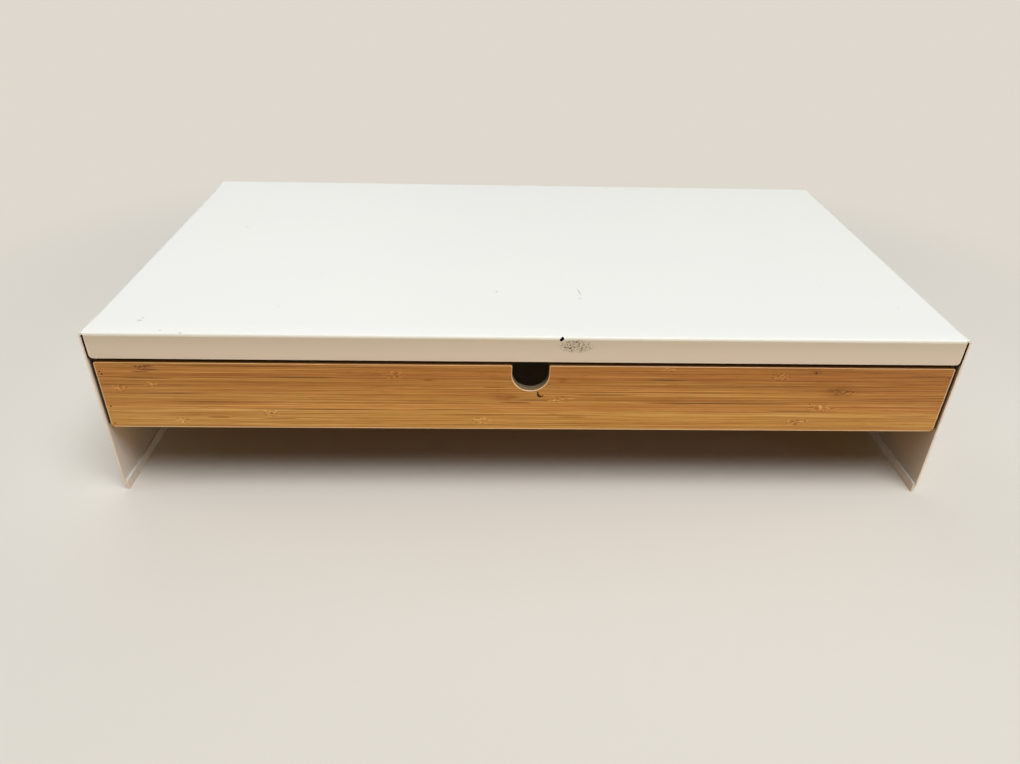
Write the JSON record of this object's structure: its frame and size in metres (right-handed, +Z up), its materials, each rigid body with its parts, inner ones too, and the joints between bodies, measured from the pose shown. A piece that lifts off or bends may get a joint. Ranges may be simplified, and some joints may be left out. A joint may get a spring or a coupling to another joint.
{
  "type": "monitor stand with drawer",
  "caption": "Low folded-steel monitor stand with upright legs and a shallow bamboo-fronted drawer that slides out from under its top, with room for a keyboard below.",
  "frame": {"origin": "on the surface that the stand rests on, under the middle of the top", "axes": "+X to the right seen from the front, +Y towards the back, +Z up; the drawer opens towards -Y"},
  "size_m": [0.47, 0.255, 0.104],
  "materials": {
    "powder_coat": "fine-textured white powder coat, satin",
    "rail_coat": "white powder coat, satin",
    "foot_plastic": "pale moulded strip",
    "zinc_steel": "bright zinc plating",
    "glide_plastic": "smooth natural plastic",
    "bumper_rubber": "dark grey rubber",
    "bamboo_front": "lacquered bamboo, grain along the front",
    "bamboo_box": "lacquered bamboo, plain",
    "white_board": "thin fibreboard with a smooth white face",
    "catch_plastic": "moulded plastic"
  },
  "bodies": {
    "stand": {"stand_shell": "powder_coat", "foot_strip_left": "foot_plastic", "foot_strip_right": "foot_plastic", "rail_left": "rail_coat", "rail_right": "rail_coat", "rail_studs": "zinc_steel", "rail_nuts": "zinc_steel", "glide_liner_left": "glide_plastic", "glide_liner_right": "glide_plastic", "bumper_left": "bumper_rubber", "bumper_right": "bumper_rubber"},
    "drawer": {"drawer_front": "bamboo_front", "drawer_side_left": "bamboo_box", "drawer_side_right": "bamboo_box", "drawer_back": "bamboo_box", "drawer_bottom": "white_board", "corner_block_left": "bamboo_box", "corner_block_right": "bamboo_box", "front_screws": "zinc_steel", "back_screws": "zinc_steel", "bottom_screws": "zinc_steel", "drawer_catch_left": "catch_plastic", "drawer_catch_right": "catch_plastic", "catch_screws": "zinc_steel"}
  },
  "joints": [
    {"name": "drawer_slide", "type": "slide", "parent": "stand", "child": "drawer", "axis": [0, -1, 0], "range_m": [0, 0.19]}
  ]
}
